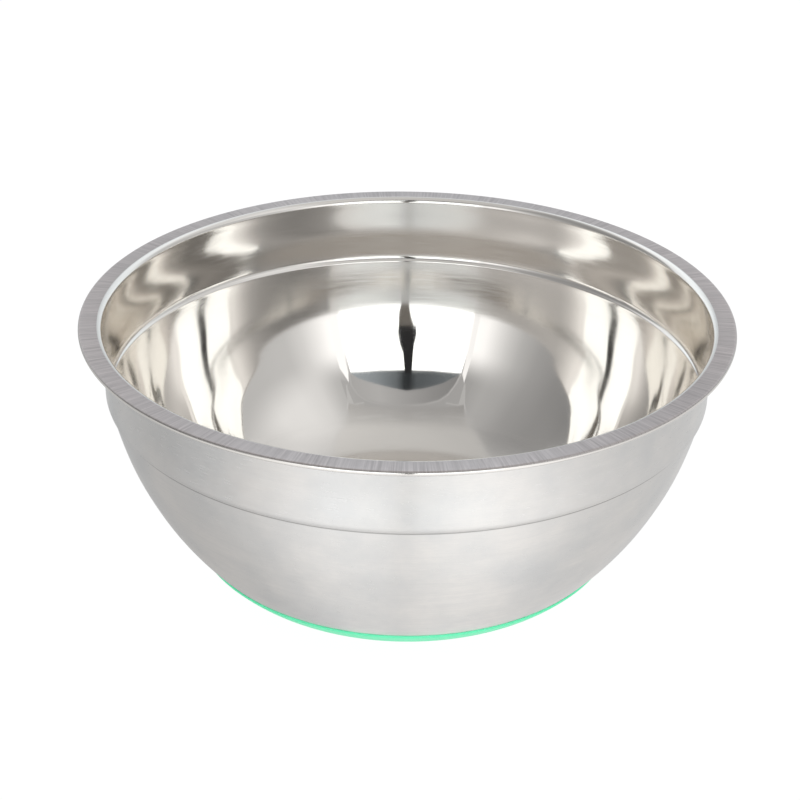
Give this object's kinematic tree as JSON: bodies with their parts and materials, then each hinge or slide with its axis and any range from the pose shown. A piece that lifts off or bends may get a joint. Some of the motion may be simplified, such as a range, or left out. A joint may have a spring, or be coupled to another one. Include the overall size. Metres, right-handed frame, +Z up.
{
  "type": "mixing bowl",
  "caption": "Round stainless steel mixing bowl with a flat folded rim, a stepped band under it and a bonded non-slip silicone base.",
  "frame": {"origin": "centre of the circle that the bowl stands on, in the plane of the standing face", "axes": "+Z up along the bowl's axis; X and Y are any two directions at right angles, because the bowl is round"},
  "size_m": [0.256, 0.256, 0.1085],
  "materials": {
    "stainless_steel": "mirror polished inside, satin brushed round the outside, finely ground flat rim",
    "green_silicone": "smooth satin mint green silicone, slightly translucent",
    "adhesive": "thin cured film, hidden"
  },
  "bodies": {
    "root": {"bowl_shell": "stainless_steel", "silicone_base": "green_silicone", "adhesive_film": "adhesive"}
  },
  "joints": []
}
